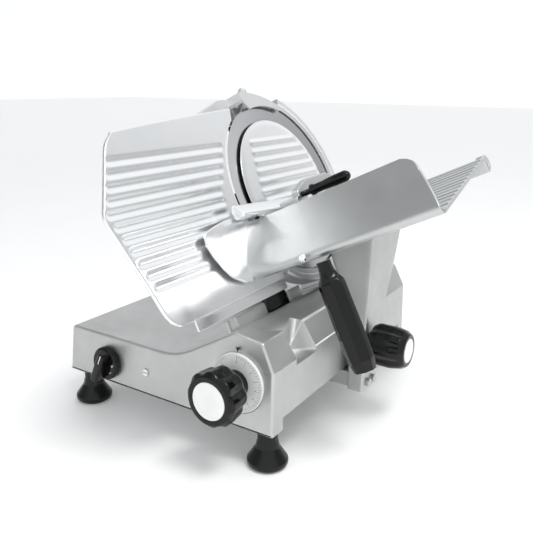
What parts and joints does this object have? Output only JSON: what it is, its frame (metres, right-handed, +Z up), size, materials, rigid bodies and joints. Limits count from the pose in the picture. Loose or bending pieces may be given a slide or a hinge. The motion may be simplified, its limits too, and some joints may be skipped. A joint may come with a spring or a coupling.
{
  "type": "deli meat slicer",
  "caption": "Gravity-feed meat slicer: leaning round knife in a ring guard, ribbed thickness plate, sliding trough tray on an arm, black grip and knobs, on four rubber feet.",
  "frame": {"origin": "at table level, under the middle of the bounding box", "axes": "+Z up, +Y from the operator to the back of the machine, +X from the slice deck towards the food carriage"},
  "size_m": [0.4998, 0.529, 0.4376],
  "materials": {
    "cast_aluminium": "satin anodised casting, fine blasted grain",
    "polished_aluminium": "brushed and anodised, soft sheen",
    "knife_steel": "ground and polished, fine turning lines",
    "machine_steel": "turned or zinc plated steel",
    "bright_chrome": "bright plated",
    "black_plastic": "moulded, semi-gloss",
    "black_rubber": "moulded rubber, matt",
    "white_label": "satin white",
    "capacitor_case": "moulded, matt",
    "copper_winding": "lacquered copper and laminations",
    "abrasive_stone": "bonded abrasive grit"
  },
  "bodies": {
    "machine": {"base_casting": "cast_aluminium", "bottom_plate": "machine_steel", "bottom_plate_screws": "machine_steel", "front_feet": "black_rubber", "rear_feet": "black_rubber", "foot_bolts": "machine_steel", "knife_housing": "cast_aluminium", "housing_bolts": "machine_steel", "knife_axle": "machine_steel", "bearing_inner_races": "machine_steel", "bearing_balls": "bright_chrome", "knife_cover": "polished_aluminium", "cover_tie_rod": "machine_steel", "sharpener_post": "machine_steel", "motor_can": "machine_steel", "motor_shroud": "cast_aluminium", "motor_end_cap": "black_plastic", "run_capacitor": "capacitor_case", "switch_body": "black_plastic", "cable_gland": "black_plastic", "carriage_rod": "machine_steel", "guide_bar": "machine_steel", "gauge_rod": "machine_steel", "dial_pointer": "black_plastic", "panel_screw": "machine_steel", "drive_belt": "black_rubber"},
    "knife": {"knife": "knife_steel", "knife_hub": "machine_steel", "knife_screws": "machine_steel", "bearing_outer_races": "machine_steel"},
    "motor": {"motor_rotor": "copper_winding", "motor_pulley": "machine_steel", "motor_fan": "black_plastic"},
    "cover_knob": {"cover_knob": "black_plastic"},
    "switch": {"switch_knob": "black_plastic"},
    "index": {"index_knob": "black_plastic", "index_disc": "white_label", "dial_ring": "white_label", "index_cam": "machine_steel"},
    "gauge": {"gauge_plate": "polished_aluminium", "gauge_bracket": "black_plastic", "gauge_slider": "machine_steel"},
    "carriage": {"carriage_block": "cast_aluminium", "carriage_arm": "cast_aluminium", "arm_bolts": "machine_steel", "food_tray": "polished_aluminium", "hand_guard": "polished_aluminium", "tray_grip": "black_plastic", "grip_screw": "machine_steel", "pusher_rod": "machine_steel"},
    "clamp": {"clamp_knob": "black_plastic", "clamp_disc": "white_label"},
    "pusher_carrier": {"pusher_sleeve": "black_plastic"},
    "pusher": {"pusher_arm": "polished_aluminium", "pusher_plate": "polished_aluminium", "pusher_grip": "black_plastic"},
    "sharpener": {"sharpener_cover": "cast_aluminium"},
    "sharpener_clamp": {"sharpener_knob": "bright_chrome"},
    "stone_button": {"stone_button": "black_plastic"},
    "stone": {"grinding_stone": "abrasive_stone"}
  },
  "joints": [
    {"name": "knife_spin", "type": "hinge", "parent": "machine", "child": "knife", "pos_m": [-0.03422, 0.0855, 0.29983], "axis": [0.8988, 0, 0.4384], "continuous": true},
    {"name": "motor_spin", "type": "hinge", "parent": "machine", "child": "motor", "pos_m": [-0.06272, 0.1615, 0.22139], "axis": [0.8988, 0, 0.4384], "continuous": true},
    {"name": "cover_knob_turn", "type": "hinge", "parent": "machine", "child": "cover_knob", "pos_m": [-0.10612, 0.0855, 0.26476], "axis": [0.8988, 0, 0.4384], "range_deg": [0, 720]},
    {"name": "switch_turn", "type": "hinge", "parent": "machine", "child": "switch", "pos_m": [-0.1709, -0.1505, 0.076], "axis": [0, 1, 0], "range_deg": [0, 90]},
    {"name": "index_turn", "type": "hinge", "parent": "machine", "child": "index", "pos_m": [0.0389, -0.1605, 0.103], "axis": [0, -1, 0], "range_deg": [0, 300]},
    {"name": "gauge_slide", "type": "slide", "parent": "machine", "child": "gauge", "axis": [-0.8988, 0, -0.4384], "range_m": [0, 0.012]},
    {"name": "carriage_slide", "type": "slide", "parent": "machine", "child": "carriage", "axis": [0, 1, 0], "range_m": [-0.145, 0.11]},
    {"name": "clamp_turn", "type": "hinge", "parent": "carriage", "child": "clamp", "pos_m": [0.1571, 0.0525, 0.105], "axis": [1, 0, 0], "range_deg": [0, 360]},
    {"name": "pusher_slide", "type": "slide", "parent": "carriage", "child": "pusher_carrier", "axis": [0.8988, 0, 0.4384], "range_m": [0, 0.16]},
    {"name": "pusher_lift", "type": "hinge", "parent": "pusher_carrier", "child": "pusher", "pos_m": [0.0454, 0.1505, 0.25521], "axis": [0.8988, 0, 0.4384], "range_deg": [-75, 0]},
    {"name": "sharpener_lift", "type": "slide", "parent": "machine", "child": "sharpener", "axis": [-0.4384, 0, 0.8988], "range_m": [0, 0.025]},
    {"name": "sharpener_clamp_turn", "type": "hinge", "parent": "sharpener", "child": "sharpener_clamp", "pos_m": [-0.11352, 0.0755, 0.4168], "axis": [0.4067, 0, 0.9135], "range_deg": [0, 360]},
    {"name": "stone_press", "type": "slide", "parent": "sharpener", "child": "stone_button", "axis": [0.8988, 0, 0.4384], "range_m": [0, 0.008], "stiffness_N_per_m": 200, "springref_m": -0.002},
    {"name": "stone_spin", "type": "hinge", "parent": "stone_button", "child": "stone", "pos_m": [-0.10195, 0.0995, 0.39307], "axis": [0.8988, 0, 0.4384], "continuous": true}
  ],
  "couplings": [
    {"joint": "motor_spin", "follows": "knife_spin", "ratio": 3.4},
    {"joint": "gauge_slide", "follows": "index_turn", "m_per_rad": 0.0022918}
  ]
}
